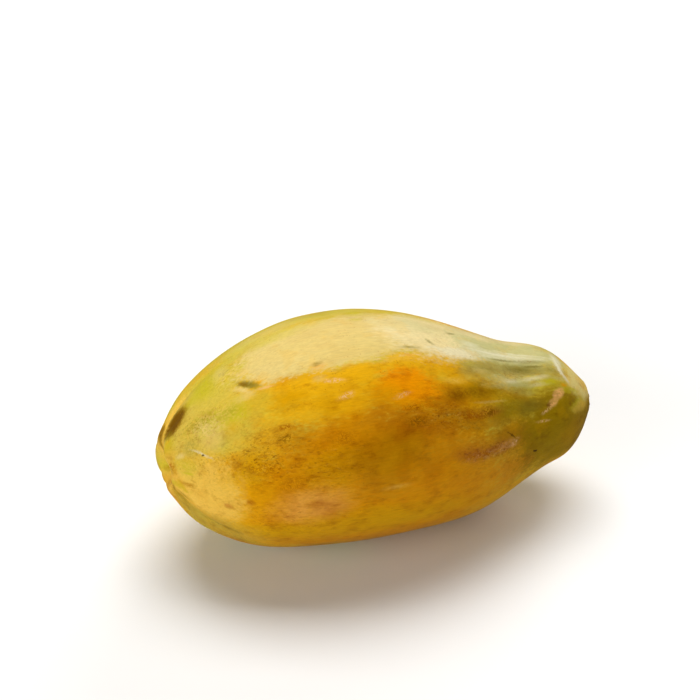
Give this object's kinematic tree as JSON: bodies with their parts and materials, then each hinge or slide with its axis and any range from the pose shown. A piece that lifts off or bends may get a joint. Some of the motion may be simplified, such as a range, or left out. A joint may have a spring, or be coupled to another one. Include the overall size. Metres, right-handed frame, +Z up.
{
  "type": "papaya",
  "caption": "Ripe oblong papaya lying on its side, with soft lobes, a puckered blossom knob, a narrower neck and a short cut stem stub.",
  "frame": {"origin": "middle of the small flat spot that the fruit rests on, on the resting surface under its centre of mass", "axes": "+X along the fruit from the blossom end to the stem end, +Z up from the resting surface, +Y to the fruit's left seen from behind the blossom end"},
  "size_m": [0.2473, 0.128, 0.1271],
  "materials": {
    "skin": "satin, waxy, yellow to orange with green and brown mottling",
    "stalk": "dry and rough, brown with a paler cut face"
  },
  "bodies": {
    "root": {"fruit": "skin", "stem_stub": "stalk"}
  },
  "joints": []
}
